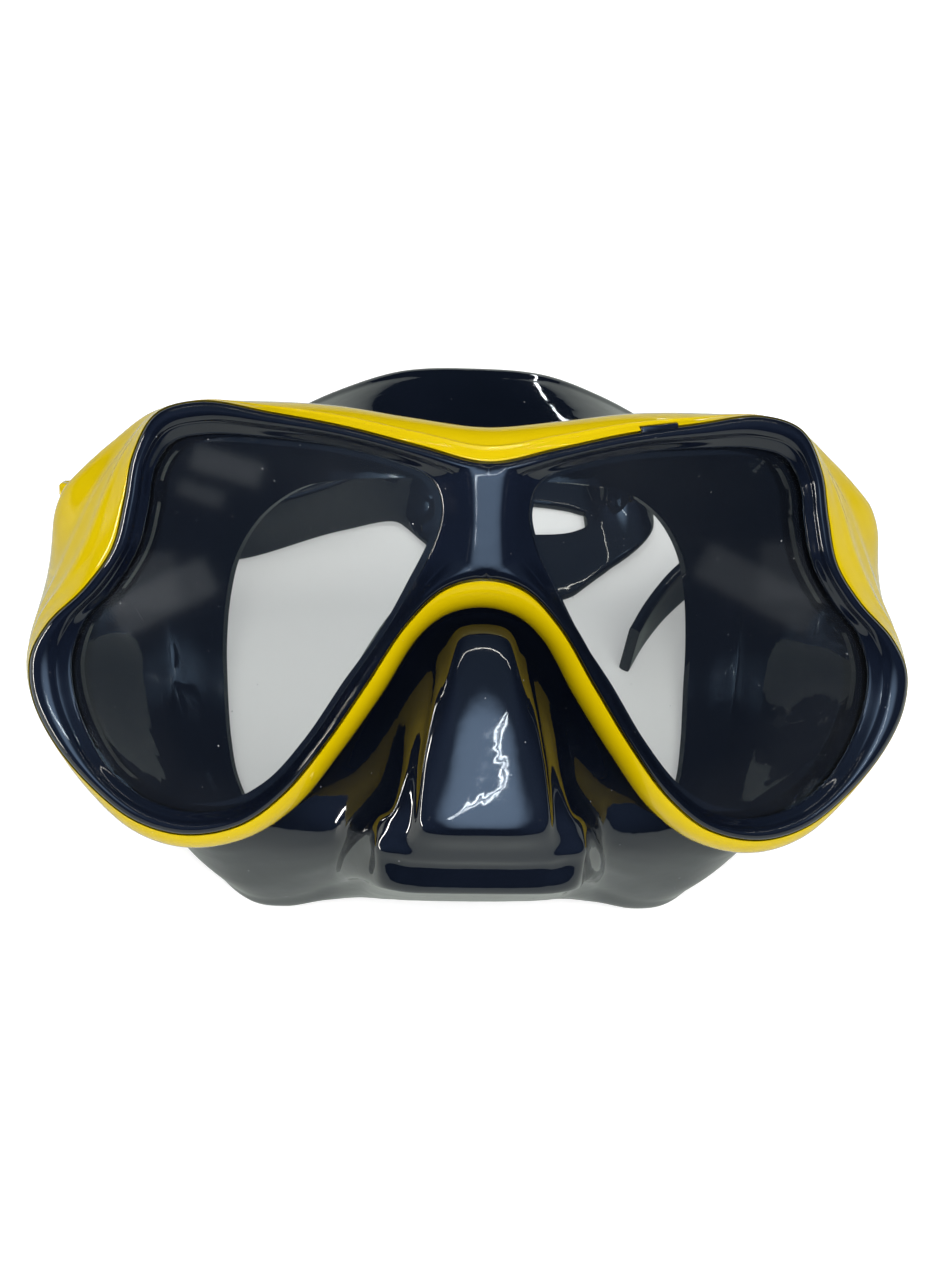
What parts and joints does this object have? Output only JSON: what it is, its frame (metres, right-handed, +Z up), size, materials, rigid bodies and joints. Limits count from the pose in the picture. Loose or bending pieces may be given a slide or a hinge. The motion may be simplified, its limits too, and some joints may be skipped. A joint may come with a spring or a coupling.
{
  "type": "snorkel mask",
  "caption": "Two-lens snorkel mask with a yellow frame, black locking bezel, black silicone skirt with nose pocket, swivel buckles and a split-pad strap.",
  "frame": {"origin": "bottom centre of the object's box, on the table it lies on", "axes": "+X to the viewer's right across the face, +Y away from the viewer towards the strap, +Z up from the table; the lens plane leans back 55 degrees"},
  "size_m": [0.1688, 0.1366, 0.0906],
  "materials": {
    "yellow_plastic": "glossy moulded polycarbonate",
    "black_plastic": "glossy moulded black plastic",
    "black_silicone": "glossy liquid silicone",
    "tempered_glass": "clear flat tempered glass",
    "stainless_steel": "satin stainless wire and pins"
  },
  "bodies": {
    "mask": {"frame": "yellow_plastic", "bezel": "black_plastic", "lens_left": "tempered_glass", "lens_right": "tempered_glass", "skirt": "black_silicone", "buckle_pin_left": "stainless_steel", "buckle_pin_right": "stainless_steel", "pin_clip_left": "stainless_steel", "pin_clip_right": "stainless_steel"},
    "strap": {"strap": "black_silicone"},
    "buckle_left": {"buckle_body_left": "yellow_plastic", "lever_pin_left": "stainless_steel", "lever_spring_left": "stainless_steel"},
    "buckle_right": {"buckle_body_right": "yellow_plastic", "lever_pin_right": "stainless_steel", "lever_spring_right": "stainless_steel"},
    "roller_left": {"strap_roller_left": "black_plastic"},
    "roller_right": {"strap_roller_right": "black_plastic"},
    "lever_left": {"release_lever_left": "yellow_plastic"},
    "lever_right": {"release_lever_right": "yellow_plastic"}
  },
  "joints": [
    {"name": "strap_swing", "type": "hinge", "parent": "mask", "child": "strap", "pos_m": [0, 0.00676, 0.0373], "axis": [1, 0, 0], "range_deg": [-12, 35]},
    {"name": "buckle_left_swivel", "type": "hinge", "parent": "mask", "child": "buckle_left", "pos_m": [-0.0726, 0.00676, 0.0373], "axis": [1, 0, 0], "range_deg": [-12, 35]},
    {"name": "buckle_right_swivel", "type": "hinge", "parent": "mask", "child": "buckle_right", "pos_m": [0.0726, 0.00676, 0.0373], "axis": [1, 0, 0], "range_deg": [-12, 35]},
    {"name": "roller_left_spin", "type": "hinge", "parent": "buckle_left", "child": "roller_left", "pos_m": [-0.0726, 0.01949, 0.02457], "axis": [0, 0.7071, 0.7071], "continuous": true},
    {"name": "roller_right_spin", "type": "hinge", "parent": "buckle_right", "child": "roller_right", "pos_m": [0.0726, 0.01949, 0.02457], "axis": [0, 0.7071, 0.7071], "continuous": true},
    {"name": "lever_left_release", "type": "hinge", "parent": "buckle_left", "child": "lever_left", "pos_m": [-0.0805, 0.01454, 0.02952], "axis": [0, 0.7071, 0.7071], "range_deg": [0, 25], "stiffness_Nm_per_rad": 0.02, "springref_deg": -14.32},
    {"name": "lever_right_release", "type": "hinge", "parent": "buckle_right", "child": "lever_right", "pos_m": [0.0805, 0.01454, 0.02952], "axis": [0, -0.7071, -0.7071], "range_deg": [0, 25], "stiffness_Nm_per_rad": 0.02, "springref_deg": -14.32}
  ],
  "couplings": [
    {"joint": "buckle_left_swivel", "follows": "strap_swing", "ratio": 1},
    {"joint": "buckle_right_swivel", "follows": "strap_swing", "ratio": 1}
  ]
}
